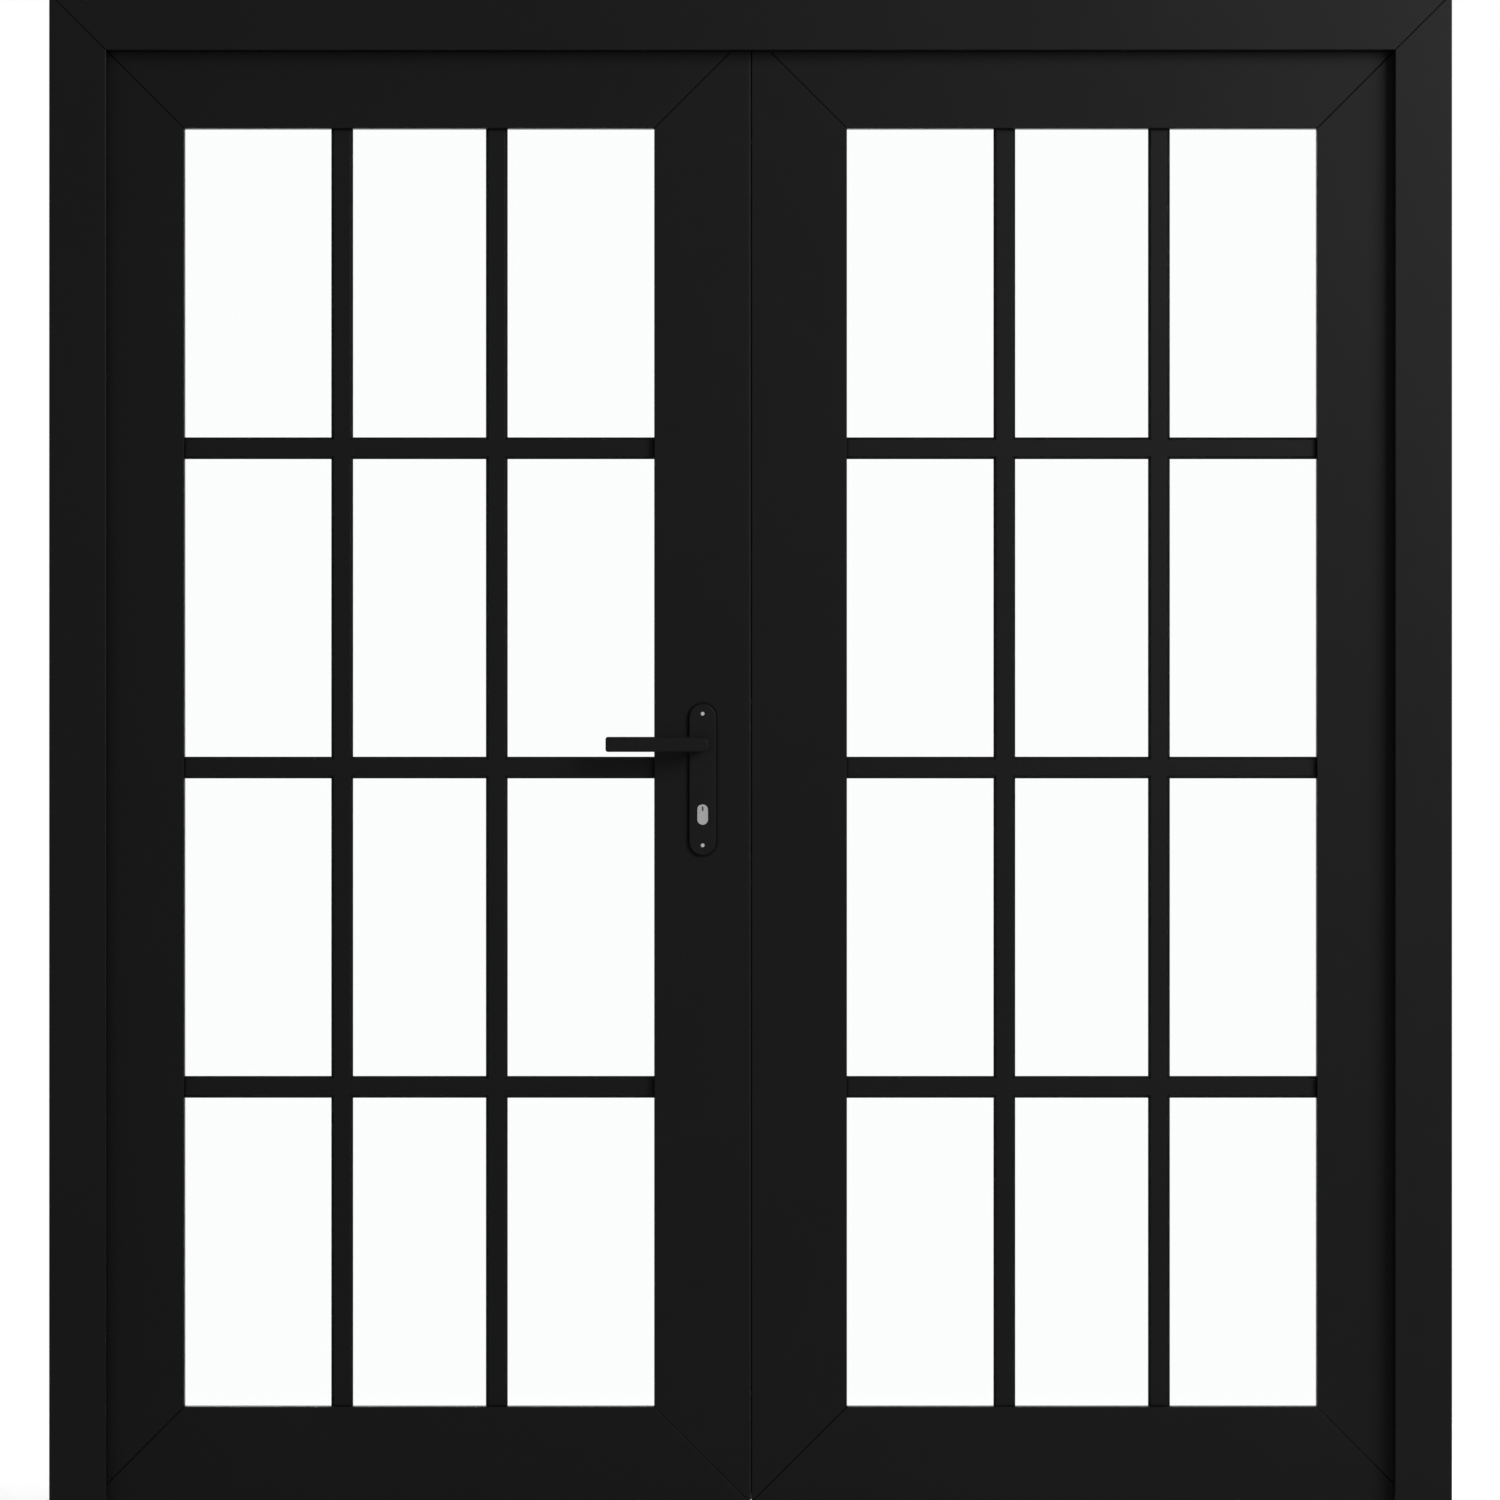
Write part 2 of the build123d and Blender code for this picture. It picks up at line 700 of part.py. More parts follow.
def plate_screws():
    """Two through screws from the front, each tightened in a sleeve nut from the rear."""
    pieces = []
    depth = plate_screw_head_depth
    shank_length = 2 * plate_face - sleeve_length
    for z in around(plate_centre, plate_screw_spacing):
        screw = rod((spindle_x, -plate_face, z), (0, depth, 0), plate_screw_head_radius)
        screw += rod((spindle_x, -plate_face, z), (0, shank_length, 0), plate_screw_radius)
        nut = rod((spindle_x, plate_face, z), (0, -depth, 0), sleeve_head_radius)
        nut += rod((spindle_x, plate_face, z), (0, -sleeve_length, 0), sleeve_radius)
        slot = around(spindle_x, 2 * sleeve_head_radius)
        slot_z = around(z, screw_slot_width)
        screw -= block(slot, (-plate_face - beyond, -plate_face + screw_slot_depth), slot_z)
        nut -= block(slot, (plate_face - screw_slot_depth, plate_face + beyond), slot_z)
        pieces += [screw, nut]
    return Compound(children=pieces)


def lever():
    """The front lever: a flat bar, round at the spindle's end, and a neck that turns in the plate."""
    tip, end = spindle_x - lever_reach, spindle_x + lever_end_reach
    outline = front_view((tip + end) / 2, -lever_face, handle_height) * Rectangle(end - tip, lever_height)
    outline = fillet(outline.vertices().sort_by(Axis.X)[:2], lever_tip_radius)
    outline = fillet(outline.vertices().sort_by(Axis.X)[-2:], lever_end_reach)
    grip = extrude(outline, amount=lever_depth, dir=(0, 1, 0))
    rims = [e for e in grip.edges() if abs(e.tangent_at(0.5).Y) < 0.01]
    grip = chamfer(rims, lever_edge_chamfer)
    neck_start = -lever_face + lever_depth - beyond
    neck_length = -half_leaf + neck_set_in - neck_start
    grip += rod((spindle_x, neck_start, handle_height), (0, neck_length, 0), neck_radius)
    side = spindle_side + 2 * running_clearance
    end = -(spindle_length / 2 + pick_up_clearance)
    return grip - block(around(spindle_x, side), (end, 0), around(handle_height, side))


def spindle():
    """The square bar that joins the levers through the lock."""
    side = spindle_side
    return block(around(spindle_x, side), around(0, spindle_length), around(handle_height, side))


def strike_plate():
    """The strike in the right leaf's meeting edge, opposite the forend."""
    plate = edge_plate((meeting_edge, meeting_edge + forend_thickness), 0)
    return plate - bolt_windows((0, meeting_edge + forend_thickness + beyond), strike_pocket_clearance)


def strike_cutter():
    """The strike's recess in the right leaf, and the pockets behind its windows."""
    recess = edge_plate((0, meeting_edge + forend_thickness), let_in_clearance)
    pocket = (0, meeting_edge + deadbolt_throw + strike_pocket_spare)
    return recess + bolt_windows(pocket, strike_pocket_clearance)


def flush_body():
    """The upper flush bolt's body in the meeting edge: a channel for the rod and a finger recess."""
    x = (meeting_edge, meeting_edge + flush_body_depth)
    body = block(x, around(0, flush_body_width), (leaf_top - flush_body_length, leaf_top))
    gap = flush_slide_clearance
    channel = meeting_edge + flush_rod_set_in
    channel_x = (channel - gap, channel + flush_rod_depth + gap)
    channel_z = (leaf_top - flush_rod_length - flush_end_gap - gap, leaf_top + beyond)
    body -= block(channel_x, around(0, flush_rod_width + 2 * gap), channel_z)
    recess_z = (leaf_top - flush_recess_from_end, leaf_top - flush_recess_from_end + flush_recess_height)
    recess = block((0, channel_x[1]), around(0, flush_rod_width + 2 * gap), recess_z)
    return body - recess


def flush_rod():
    """The upper flush bolt's rod with the tab that a finger pushes."""
    x = (meeting_edge + flush_rod_set_in, meeting_edge + flush_rod_set_in + flush_rod_depth)
    y = around(0, flush_rod_width)
    top = leaf_top - flush_end_gap
    bolt = block(x, y, (top - flush_rod_length, top))
    bolt = chamfer(bolt.faces().sort_by(Axis.Z)[-1].edges(), flush_tip_chamfer)
    tab_low = leaf_top - flush_recess_from_end + beyond
    return bolt + block((meeting_edge + flush_tab_set_back, x[0]), y, (tab_low, tab_low + flush_tab_height))


def flush_cutter():
    """The pocket for the upper flush bolt's body in the right leaf."""
    gap = let_in_clearance
    x = (0, meeting_edge + flush_body_depth + gap)
    z = (leaf_top - flush_body_length - gap, leaf_top + beyond)
    return block(x, around(0, flush_body_width + 2 * gap), z)


def lower(shape):
    """The lower flush bolt's piece: the upper one turned over about the leaf's middle height."""
    middle = Plane(origin=(0, 0, floor_gap + leaf_height / 2), z_dir=(0, 0, 1))
    return mirrored(shape, middle)


def keeper_centre():
    """The keeper's place along X: in line with the flush bolt's rod."""
    return meeting_edge + flush_rod_set_in + flush_rod_depth / 2


def head_keeper():
    """The plate in the frame's head that the upper flush bolt enters."""
    plate = block(
        around(keeper_centre(), keeper_length),
        around(0, keeper_width),
        (rebate_top, rebate_top + keeper_thickness),
    )
    return plate - keeper_window((rebate_top - beyond, rebate_top + jamb_base))


def keeper_window(z):
    """The opening for the rod, through the given heights."""
    grow = 2 * keeper_clearance
    return block(around(keeper_centre(), flush_rod_depth + grow), around(0, flush_rod_width + grow), z)


def keeper_cutter():
    """The keeper's recess in the frame's head, and the pocket above it."""
    gap = let_in_clearance
    recess = block(
        around(keeper_centre(), keeper_length + 2 * gap),
        around(0, keeper_width + 2 * gap),
        (rebate_top - beyond, rebate_top + keeper_thickness),
    )
    pocket_top = leaf_top + flush_throw + keeper_pocket_spare
    return recess + keeper_window((rebate_top, pocket_top))


def frame_pieces():
    """The lining, the planted stops, the seals, the casings and the hinges' fixed halves."""
    pieces = {}
    sides = ("left", "right", "top")
    names = {"left": "left", "right": "right", "top": "head"}
    rim = -stop_rise
    front = casing_section(frame_front, frame_front - casing_thickness, rim, front_tongue_inset)
    rear = casing_section(frame_rear, frame_rear + casing_thickness, casing_reveal, rear_tongue_inset)
    for side in sides:
        pieces[names[side] + "_jamb"] = member(jamb_section(), side, frame_opening(), 0)
        pieces[names[side] + "_stop"] = member(stop_section(), side, frame_opening(), 0)
        pieces[side + "_seal"] = member(seal_section(), side, frame_opening(), 0)
        pieces["front_casing_" + side] = casing(front, side, frame_front - casing_thickness, 1)
        pieces["rear_casing_" + side] = casing(rear, side, frame_rear + casing_thickness, -1)
    for side, name in ((-1, "left"), (1, "right")):
        jamb = pieces[name + "_jamb"]
        for z in hinge_centres:
            jamb -= hinge_pocket(side, False, z)
        for z in around(jamb_fixing_height, jamb_fixing_spacing):
            start = (side * (half_rebate - beyond), 0, z)
            jamb -= rod(start, (side * (jamb_base + 2 * beyond), 0, 0), fixing_hole_radius)
        pieces[name + "_jamb"] = jamb
        plates = [hinge_half(side, False, z) for z in hinge_centres]
        pieces[name + "_hinge_frame_plates"] = Compound(children=plates)
    head = pieces["head_jamb"] - keeper_cutter()
    for x in around(0, head_fixing_spacing):
        head -= rod((x, 0, rebate_top - beyond), (0, 0, jamb_base + 2 * beyond), fixing_hole_radius)
    pieces["head_jamb"] = head
    pieces["head_keeper"] = head_keeper()
    return pieces


def leaf_pieces(name, side, cutters):
    """One leaf: four mitred members, five bars, the panes and the hinges' moving halves."""
    centre = side * (meeting_edge + leaf_width / 2)
    ends = around(centre, opening_width)
    opening = (ends[0], ends[1], opening_bottom, opening_top)
    hinge_side, meeting_side = ("left", "right") if side < 0 else ("right", "left")
    places = {
        "hinge_stile": hinge_side,
        "meeting_stile": meeting_side,
        "top_rail": "top",
        "bottom_rail": "bottom",
    }
    pieces = {}
    for part, place in places.items():
        bar = leaf_member(place, opening)
        if part == "hinge_stile":
            for z in hinge_centres:
                bar -= hinge_pocket(side, True, z)
        else:
            for cutter in cutters:
                bar -= cutter
        pieces[name + "_" + part] = bar
    uprights, crosses = glazing_bars(centre)
    for i, bar in enumerate(uprights, 1):
        pieces[f"{name}_upright_bar_{i}"] = bar
    for i, bar in enumerate(crosses, 1):
        pieces[f"{name}_cross_bar_{i}"] = bar
    pieces[name + "_glass"] = panes(centre)
    plates = [hinge_half(side, True, z) for z in hinge_centres]
    pieces[name + "_hinge_leaf_plates"] = Compound(children=plates)
    return pieces


def lock_pieces():
    """The lock, its cylinder, and the handles on both faces of the left leaf."""
    return {
        "lock_case": lock_case(),
        "lock_forend": lock_forend(),
        "cylinder_body": cylinder_body(),
        "cylinder_screw": cylinder_screw(),
        "cylinder_plug": cylinder_plug(),
        "follower": follower(),
        "spindle": spindle(),
        "latch_bolt": latch_bolt(),
        "deadbolt": deadbolt(),
        "front_plate": handle_plate(plate_screw_head_radius, plate_screw_radius),
        "rear_plate": mirrored(handle_plate(sleeve_head_radius, sleeve_radius), Plane.XZ),
        "plate_screws": plate_screws(),
        "front_lever": lever(),
        "rear_lever": mirrored(lever(), Plane.XZ),
    }


def flush_bolt_pieces():
    """The strike and the two flush bolts of the right leaf."""
    return {
        "strike_plate": strike_plate(),
        "upper_bolt_body": flush_body(),
        "upper_bolt_rod": flush_rod(),
        "lower_bolt_body": lower(flush_body()),
        "lower_bolt_rod": lower(flush_rod()),
    }


model = frame_pieces()
model.update(leaf_pieces("left", -1, [lock_cutter()]))
model.update(leaf_pieces("right", 1, [strike_cutter(), flush_cutter(), lower(flush_cutter())]))
model.update(lock_pieces())
model.update(flush_bolt_pieces())

os.makedirs("parts", exist_ok=True)
for node, shape in model.items():
    export_step(shape, f"parts/{node}.step")
print(len(model), "nodes")
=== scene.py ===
import json
import math

import bpy
from mathutils import Matrix, Vector


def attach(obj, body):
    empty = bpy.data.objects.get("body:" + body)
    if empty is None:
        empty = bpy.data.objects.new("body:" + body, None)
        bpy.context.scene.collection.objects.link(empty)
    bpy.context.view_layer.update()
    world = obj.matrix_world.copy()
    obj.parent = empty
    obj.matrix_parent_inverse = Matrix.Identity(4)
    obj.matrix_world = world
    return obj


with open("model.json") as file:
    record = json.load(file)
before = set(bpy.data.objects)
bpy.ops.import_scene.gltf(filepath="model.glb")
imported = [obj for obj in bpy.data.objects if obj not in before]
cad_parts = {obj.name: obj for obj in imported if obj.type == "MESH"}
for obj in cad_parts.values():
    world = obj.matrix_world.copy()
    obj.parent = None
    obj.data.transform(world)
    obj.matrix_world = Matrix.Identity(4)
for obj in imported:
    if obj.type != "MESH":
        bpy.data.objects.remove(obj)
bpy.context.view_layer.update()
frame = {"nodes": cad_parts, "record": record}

# Pair of black glazed doors in a timber frame: finishes, screws, light and camera for the model.
# Metres, in the model's own frame: the front faces -Y, the floor is at z 0, the leaves open to +Y.
# Sizes of textures and of edges in the finishes are in millimetres.

record = frame["record"]
nodes = frame["nodes"]
print("frame loaded:", len(nodes), "nodes")


def toLinear(hexColour):
    values = [int(hexColour[i:i + 2], 16) / 255 for i in (0, 2, 4)]
    return [v / 12.92 if v <= 0.04045 else ((v + 0.055) / 1.055) ** 2.4 for v in values] + [1.0]


def toMetres(millimetres):
    return millimetres / 1000


def perMetre(millimetres):  # a texture's scale, from the size of one ripple or grain
    return 1000 / millimetres


def setSockets(tree, node, values, links):
    for socket, value in (values or {}).items():
        node.inputs[socket].default_value = value
    for socket, source in (links or {}).items():
        tree.links.new(source, node.inputs[socket])


def addNode(tree, kind, values=None, links=None, **settings):
    node = tree.nodes.new(kind)
    for name, value in settings.items():
        setattr(node, name, value)
    setSockets(tree, node, values, links)
    return node


def startMaterial(name):
    material = bpy.data.materials.new(name)
    material.use_nodes = True
    tree = material.node_tree
    shader = tree.nodes["Principled BSDF"]
    place = addNode(tree, "ShaderNodeTexCoord").outputs["Object"]
    return material, tree, shader, place


# Wear of a coated edge: use polishes it here and there along its length.
edgeWear = {
    "samples": 4,
    "lean": (0.97, 0.80),  # how far the rounded edge still faces as the flat: rubbing starts, is full
    "stretch": (0.40, 0.65),  # values of the noise where rubbing starts and is full
    "detail": 3.0,
}


def addEdge(tree, place, look):  # the rounded edge's normal, and how far that edge is rubbed
    rounded = addNode(tree, "ShaderNodeBevel", {"Radius": toMetres(look["edgeRadius"])},
                      samples=edgeWear["samples"])
    edge = rounded.outputs["Normal"]
    flat = addNode(tree, "ShaderNodeNewGeometry").outputs["True Normal"]
    lean = addNode(tree, "ShaderNodeVectorMath", None, {0: edge, 1: flat}, operation="DOT_PRODUCT")
    start, full = edgeWear["lean"]
    onEdge = addNode(tree, "ShaderNodeMapRange", {"From Min": start, "From Max": full},
                     {"Value": lean.outputs["Value"]})
    patches = addNode(tree, "ShaderNodeTexNoise",
                      {"Scale": perMetre(look["rubSize"]), "Detail": edgeWear["detail"]},
                      {"Vector": place})
    start, full = edgeWear["stretch"]
    stretches = addNode(tree, "ShaderNodeMapRange", {"From Min": start, "From Max": full},
                        {"Value": patches.outputs["Fac"]})
    rub = addNode(tree, "ShaderNodeMath", None,
                  {0: onEdge.outputs["Result"], 1: stretches.outputs["Result"]},
                  operation="MULTIPLY")
    return edge, rub.outputs[0]


def addRubbed(tree, rub, colour, sheen, look):  # a coat's colour and roughness, changed where rubbed
    worn = addNode(tree, "ShaderNodeMix", {"B": toLinear(look["rubbed"])},
                   {"Factor": rub, "A": colour}, data_type="RGBA")
    polished = addNode(tree, "ShaderNodeMix", {"B": look["rubbedRoughness"]},
                       {"Factor": rub, "A": sheen}, data_type="FLOAT")
    return worn.outputs["Result"], polished.outputs["Result"]


# Two-pack polyurethane enamel, sprayed on engineered timber and left satin: a near-black film
# with a soft sheen, faint orange peel, edges a little rounded and rubbed, and painted shade in joints and
# gaps.
enamelLook = {
    "driftSize": 240,  # slow change of the film's depth
    "driftDetail": 2.0,
    "cloudSize": 35,  # patches of flatter and fuller sheen
    "cloudDetail": 3.0,
    "peelSize": 5,  # between ripples; drawn coarser than the real 2 mm, so that it shows
    "peelDetail": 1.0,
    "peelHeight": 0.012,
    "edgeRadius": 0.6,
    "rubSize": 90,  # length of the stretches where an edge is rubbed
    "rubbed": "151516",
    "rubbedRoughness": 0.30,
    "grooveSize": 4.0,  # reach of the painted shade in joints and gaps between parts
    "grooveSamples": 6,
    "grooveShade": (0.35, 0.95),  # ambient occlusion where the painted shade is full, and where it ends
    # colour of the painted shade in joints and gaps
    "groove": "030303",
    "specular": 0.09,
    "ior": 1.5,
}
enamelColours = {  # darkest and lightest of the drift, and the sheen's roughness
    "leaf_enamel": {"dark": "0a0a0b", "light": "0d0d0e", "roughness": (0.37, 0.43)},
    "bar_enamel": {"dark": "0a0a0b", "light": "0d0d0e", "roughness": (0.39, 0.45)},
    "frame_enamel": {"dark": "0a0a0b", "light": "0d0d0e", "roughness": (0.37, 0.43)},
    "casing_enamel": {"dark": "0b0b0c", "light": "0e0e0f", "roughness": (0.37, 0.43)},
}


def satinEnamel(name, colours):
    look = enamelLook
    material, tree, shader, place = startMaterial(name)
    drift = addNode(tree, "ShaderNodeTexNoise",
                    {"Scale": perMetre(look["driftSize"]), "Detail": look["driftDetail"]},
                    {"Vector": place})
    film = addNode(tree, "ShaderNodeMix",
                   {"A": toLinear(colours["dark"]), "B": toLinear(colours["light"])},
                   {"Factor": drift.outputs["Fac"]}, data_type="RGBA")
    clouds = addNode(tree, "ShaderNodeTexNoise",
                     {"Scale": perMetre(look["cloudSize"]), "Detail": look["cloudDetail"]},
                     {"Vector": place})
    smooth, rough = colours["roughness"]
    sheen = addNode(tree, "ShaderNodeMapRange", {"To Min": smooth, "To Max": rough},
                    {"Value": clouds.outputs["Fac"]})
    edge, rub = addEdge(tree, place, look)
    coat, roughness = addRubbed(tree, rub, film.outputs["Result"], sheen.outputs["Result"], look)
    # painted shade: the colour darkens where ambient occlusion finds nearby parts, as in joints and gaps
    occlusion = addNode(tree, "ShaderNodeAmbientOcclusion", {"Distance": toMetres(look["grooveSize"])},
                      samples=look["grooveSamples"])
    dark, plain = look["grooveShade"]
    openness = addNode(tree, "ShaderNodeMapRange", {"From Min": dark, "From Max": plain},
                       {"Value": occlusion.outputs["AO"]}).outputs["Result"]
    shaded = addNode(tree, "ShaderNodeMix", {"A": toLinear(look["groove"])},
                     {"Factor": openness, "B": coat}, data_type="RGBA")
    # painted shade on the sheen: the specular dims where ambient occlusion finds nearby parts
    shadedGloss = addNode(tree, "ShaderNodeMapRange", {"To Max": look["specular"]}, {"Value": openness})
    ripples = addNode(tree, "ShaderNodeTexNoise",
                      {"Scale": perMetre(look["peelSize"]), "Detail": look["peelDetail"]},
                      {"Vector": place})
    peel = addNode(tree, "ShaderNodeBump", {"Distance": toMetres(look["peelHeight"])},
                   {"Height": ripples.outputs["Fac"], "Normal": edge})
    setSockets(tree, shader, {"IOR": look["ior"]}, {
        "Base Color": shaded.outputs["Result"],
        "Roughness": roughness,
        "Specular IOR Level": shadedGloss.outputs["Result"],
        "Normal": peel.outputs["Normal"],
    })
    return material


# Polyester powder coat on cast zinc and on steel: matt black, with the fine even grain
# that the melted powder leaves, and edges polished by use.
powderLook = {
    "grainSize": 1.1,  # drawn coarser than the real 0.5 mm, so that it shows
    "grainDetail": 2.0,
    "grainHeight": 0.02,
    "patchSize": 18,
    "patchDetail": 2.0,
    "edgeRadius": 1.0,
    "rubSize": 12,
    "rubbed": "242425",
    "rubbedRoughness": 0.28,
    "specular": 0.1,
}
powderColours = {
    "handle_black": {"dark": "0a0a0b", "light": "0e0e0f", "roughness": (0.34, 0.42)},
    "hinge_black": {"dark": "0b0b0c", "light": "0f0f10", "roughness": (0.38, 0.46)},
}


def powderCoat(name, colours):
    look = powderLook
    material, tree, shader, place = startMaterial(name)
    patches = addNode(tree, "ShaderNodeTexNoise",
                      {"Scale": perMetre(look["patchSize"]), "Detail": look["patchDetail"]},
                      {"Vector": place})
    coat = addNode(tree, "ShaderNodeMix",
                   {"A": toLinear(colours["dark"]), "B": toLinear(colours["light"])},
                   {"Factor": patches.outputs["Fac"]}, data_type="RGBA")
    smooth, rough = colours["roughness"]
    sheen = addNode(tree, "ShaderNodeMapRange", {"To Min": smooth, "To Max": rough},
                    {"Value": patches.outputs["Fac"]})
    edge, rub = addEdge(tree, place, look)
    colour, roughness = addRubbed(tree, rub, coat.outputs["Result"], sheen.outputs["Result"], look)
    specks = addNode(tree, "ShaderNodeTexNoise",
                     {"Scale": perMetre(look["grainSize"]), "Detail": look["grainDetail"]},
                     {"Vector": place})
    grain = addNode(tree, "ShaderNodeBump", {"Distance": toMetres(look["grainHeight"])},
                    {"Height": specks.outputs["Fac"], "Normal": edge})
    setSockets(tree, shader, {"Specular IOR Level": look["specular"]},
               {"Base Color": colour, "Roughness": roughness, "Normal": grain.outputs["Normal"]})
    return material


# Bare or plated metal, brushed one way: fine lines along the stroke, a little patchy in tone.
metalLooks = {
    "cylinder_nickel": {  # satin nickel plate on turned brass: warm mid grey, soft lines across
        "dark": "959594", "light": "a7a7a6", "roughness": (0.34, 0.44),
        "lineWidth": 0.25, "lineLength": 9, "along": "X", "lineHeight": 0.004, "detail": 3.0,
    },
    "screw_zinc": {  # bright zinc plate, clear passivated: pale, slightly blue, almost smooth
        "dark": "b2b3b4", "light": "c8c9ca", "roughness": (0.24, 0.34),
        "lineWidth": 0.4, "lineLength": 3, "along": "X", "lineHeight": 0.002, "detail": 3.0,
    },
    "lock_steel": {  # brushed stainless strip: neutral grey, long lines up and down
        "dark": "9a9b9c", "light": "b2b3b4", "roughness": (0.28, 0.40),
        "lineWidth": 0.35, "lineLength": 60, "along": "Z", "lineHeight": 0.006, "detail": 3.0,
    },
}


def brushedMetal(name, look):
    material, tree, shader, place = startMaterial(name)
    across, along = perMetre(look["lineWidth"]), perMetre(look["lineLength"])
    stretch = [along if axis == look["along"] else across for axis in "XYZ"]
    strokes = addNode(tree, "ShaderNodeMapping", {"Scale": stretch}, {"Vector": place})
    lines = addNode(tree, "ShaderNodeTexNoise", {"Scale": 1.0, "Detail": look["detail"]},
                    {"Vector": strokes.outputs["Vector"]}).outputs["Fac"]
    tone = addNode(tree, "ShaderNodeMix", {"A": toLinear(look["dark"]), "B": toLinear(look["light"])},
                   {"Factor": lines}, data_type="RGBA")
    smooth, rough = look["roughness"]
    sheen = addNode(tree, "ShaderNodeMapRange", {"To Min": smooth, "To Max": rough}, {"Value": lines})
    ridges = addNode(tree, "ShaderNodeBump", {"Distance": toMetres(look["lineHeight"])},
                     {"Height": lines})
    setSockets(tree, shader, {"Metallic": 1.0}, {
        "Base Color": tone.outputs["Result"],
        "Roughness": sheen.outputs["Result"],
        "Normal": ridges.outputs["Normal"],
    })
    return material


# Float glass, 4 mm: clear and flat, with the faint green of plain glass and a trace of handling marks.
glassLook = {
    "tint": "fdfffe",
    "markSize": 60,
    "markDetail": 4.0,
    "marked": (0.55, 0.80),  # values of the noise where a mark starts and is full
    "roughness": (0.0, 0.03),
    "ior": 1.52,
}


def floatGlass(name):
    look = glassLook
    material, tree, shader, place = startMaterial(name)
    smears = addNode(tree, "ShaderNodeTexNoise",
                     {"Scale": perMetre(look["markSize"]), "Detail": look["markDetail"]},
                     {"Vector": place})
    start, full = look["marked"]
    clean, marked = look["roughness"]
    film = addNode(tree, "ShaderNodeMapRange",
                   {"From Min": start, "From Max": full, "To Min": clean, "To Max": marked},
                   {"Value": smears.outputs["Fac"]})
    values = {"Base Color": toLinear(look["tint"]), "Transmission Weight": 1.0, "IOR": look["ior"]}
    setSockets(tree, shader, values, {"Roughness": film.outputs["Result"]})
    return material


# EPDM rubber, extruded: dull black with a slight bloom.
rubberLook = {
    "dark": "0f0f0f",
    "light": "1a1a1a",
    "bloomSize": 25,
    "bloomDetail": 3.0,
    "grainSize": 0.8,
    "grainDetail": 2.0,
    "grainHeight": 0.02,
    "roughness": 0.72,
}


def extrudedRubber(name):
    look = rubberLook
    material, tree, shader, place = startMaterial(name)
    bloom = addNode(tree, "ShaderNodeTexNoise",
                    {"Scale": perMetre(look["bloomSize"]), "Detail": look["bloomDetail"]},
                    {"Vector": place})
    tone = addNode(tree, "ShaderNodeMix", {"A": toLinear(look["dark"]), "B": toLinear(look["light"])},
                   {"Factor": bloom.outputs["Fac"]}, data_type="RGBA")
    specks = addNode(tree, "ShaderNodeTexNoise",
                     {"Scale": perMetre(look["grainSize"]), "Detail": look["grainDetail"]},
                     {"Vector": place})
    grain = addNode(tree, "ShaderNodeBump", {"Distance": toMetres(look["grainHeight"])},
                    {"Height": specks.outputs["Fac"]})
    setSockets(tree, shader, {"Roughness": look["roughness"]},
               {"Base Color": tone.outputs["Result"], "Normal": grain.outputs["Normal"]})
    return material


finishes = {name: satinEnamel(name, colours) for name, colours in enamelColours.items()}
finishes.update({name: powderCoat(name, colours) for name, colours in powderColours.items()})
finishes.update({name: brushedMetal(name, look) for name, look in metalLooks.items()})
finishes["clear_glass"] = floatGlass("clear_glass")
finishes["seal_rubber"] = extrudedRubber("seal_rubber")
for row in record["subparts"]:
    for slot in nodes[row["node"]].material_slots:
        slot.material = finishes[row["material_slot"]]
print("finishes:", len(finishes))

softAngle = 35  # degrees; sharper edges than this stay crisp
facing = 0.9  # a face is picked where its normal points this nearly along an axis


def startPiece(name):  # the primitive just added, alone in the selection
    piece = bpy.context.object
    bpy.ops.object.select_all(action="DESELECT")
    piece.name = name
    piece.select_set(True)
    return piece


def editFaces(piece, wanted):  # into edit mode with only these faces selected
    bpy.ops.object.mode_set(mode="EDIT")
    bpy.ops.mesh.select_mode(type="FACE")
    bpy.ops.mesh.select_all(action="DESELECT")
    bpy.ops.object.mode_set(mode="OBJECT")
    for face in piece.data.polygons:
        face.select = wanted(face)
    bpy.ops.object.mode_set(mode="EDIT")


def finishMesh():  # back to object mode, with the piece's place in its mesh and soft edges
    bpy.ops.object.mode_set(mode="OBJECT")
    bpy.ops.object.transform_apply(location=True, rotation=True, scale=True)
    bpy.ops.object.shade_smooth_by_angle(angle=math.radians(softAngle))


def dress(piece, body, slotName):
    piece.data.materials.clear()
    piece.data.materials.append(finishes[slotName])
    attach(piece, body)


def copyTo(pattern, name, place, normal, turn, body, slotName):
    piece = pattern.copy()
    piece.data = pattern.data.copy()
    aim = Vector((0, 0, 1)).rotation_difference(Vector(normal)).to_matrix().to_4x4()
    piece.data.transform(Matrix.Translation(place) @ aim @ Matrix.Rotation(turn, 4, "Z"))
    piece.name = name
    bpy.context.scene.collection.objects.link(piece)
    dress(piece, body, slotName)


# Raised countersunk screw, 8 mm head with a cross recess, modelled once facing up from z 0.
screw = {
    "sides": 24,
    "radius": 0.004,
    "rim": 0.0002,  # how far the rim stands on the plate
    "crown": 0.0005,  # how far the middle rises above the rim
    "dome": ((0.55, 0.0012), (0.30, 0.0010), (0.15, 0.0008)),  # each step's share of the crown, and inset
    "crossLength": 0.0046,
    "crossWidth": 0.0010,
    "crossDepth": 0.0006,
    "turn": 1.1,  # radians from one screw's cross to the next, as if driven by hand
}


